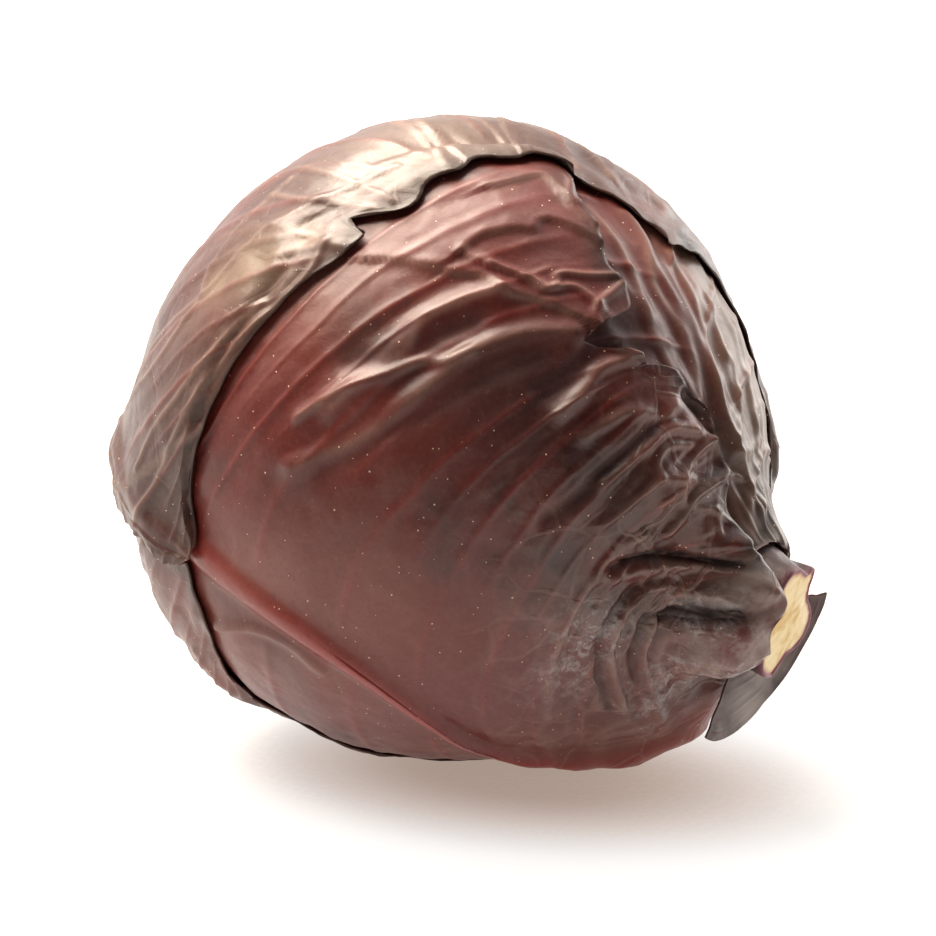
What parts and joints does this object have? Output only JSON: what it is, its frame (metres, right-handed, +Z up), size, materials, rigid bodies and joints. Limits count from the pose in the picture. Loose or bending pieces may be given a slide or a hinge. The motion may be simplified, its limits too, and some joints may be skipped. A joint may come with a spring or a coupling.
{
  "type": "cabbage head",
  "caption": "Red cabbage head lying on its side: a tight inner head wrapped in waxy, veined leaves, with a cut leaf base round the cut stem.",
  "frame": {"origin": "on the ground, under the middle of the head's bounding box", "axes": "+Z up; +X towards the stem end, which hangs 17 degrees below level; -Y towards the side that the picture shows"},
  "size_m": [0.1614, 0.1477, 0.1467],
  "materials": {
    "inner_leaves": "waxy, semi-matt",
    "leaf": "waxy, semi-gloss, with a grey bloom",
    "leaf_base": "waxy, semi-matt",
    "stem": "freshly cut, moist"
  },
  "bodies": {
    "root": {"inner_head": "inner_leaves", "shoulder_leaf": "leaf", "front_leaf": "leaf", "under_leaf": "leaf", "crown_leaf": "leaf", "cut_leaf_base": "leaf_base", "stem": "stem"}
  },
  "joints": []
}
